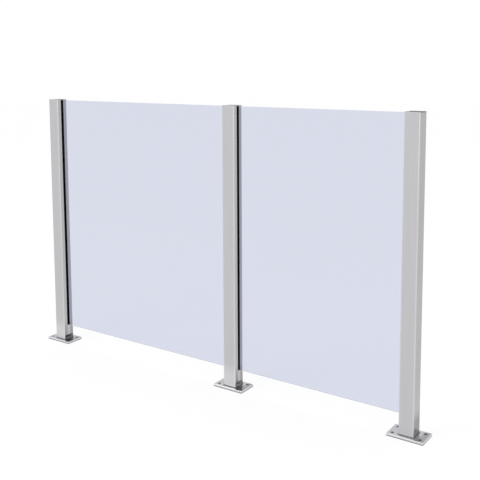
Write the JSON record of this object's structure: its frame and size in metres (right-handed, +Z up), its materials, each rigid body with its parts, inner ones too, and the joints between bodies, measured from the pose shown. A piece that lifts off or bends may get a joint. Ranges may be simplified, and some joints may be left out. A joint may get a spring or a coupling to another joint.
{
  "type": "glass infill post railing",
  "caption": "Straight run of square stainless steel posts on bolted base plates, with clear glass panels held in gasketed slots.",
  "frame": {"origin": "on the ground, under the middle of the run", "axes": "+X along the railing from the post of the wider bay to the post of the narrower bay, +Y through its thickness toward the back, +Z up"},
  "size_m": [1.64, 0.075, 1],
  "materials": {
    "post_steel": "upright brushed grain",
    "plate_steel": "bright, fine satin",
    "cap_steel": "satin",
    "weld_steel": "cleaned weld bead, slightly dull",
    "channel_steel": "mill finish sheet",
    "gasket_rubber": "black, matte",
    "block_rubber": "black, matte",
    "glass": "clear with a faint blue tint, ground edges"
  },
  "bodies": {
    "root": {"left_base_plate": "plate_steel", "middle_base_plate": "plate_steel", "right_base_plate": "plate_steel", "left_post_tube": "post_steel", "middle_post_tube": "post_steel", "right_post_tube": "post_steel", "left_post_cap": "cap_steel", "middle_post_cap": "cap_steel", "right_post_cap": "cap_steel", "left_foot_weld": "weld_steel", "middle_front_foot_weld": "weld_steel", "middle_back_foot_weld": "weld_steel", "right_foot_weld": "weld_steel", "left_post_inner_channel": "channel_steel", "middle_post_left_inner_channel": "channel_steel", "middle_post_right_inner_channel": "channel_steel", "right_post_inner_channel": "channel_steel", "left_post_gasket": "gasket_rubber", "middle_post_left_gasket": "gasket_rubber", "middle_post_right_gasket": "gasket_rubber", "right_post_gasket": "gasket_rubber", "left_post_setting_block": "block_rubber", "middle_post_left_setting_block": "block_rubber", "middle_post_right_setting_block": "block_rubber", "right_post_setting_block": "block_rubber", "left_glass_panel": "glass", "right_glass_panel": "glass"}
  },
  "joints": []
}
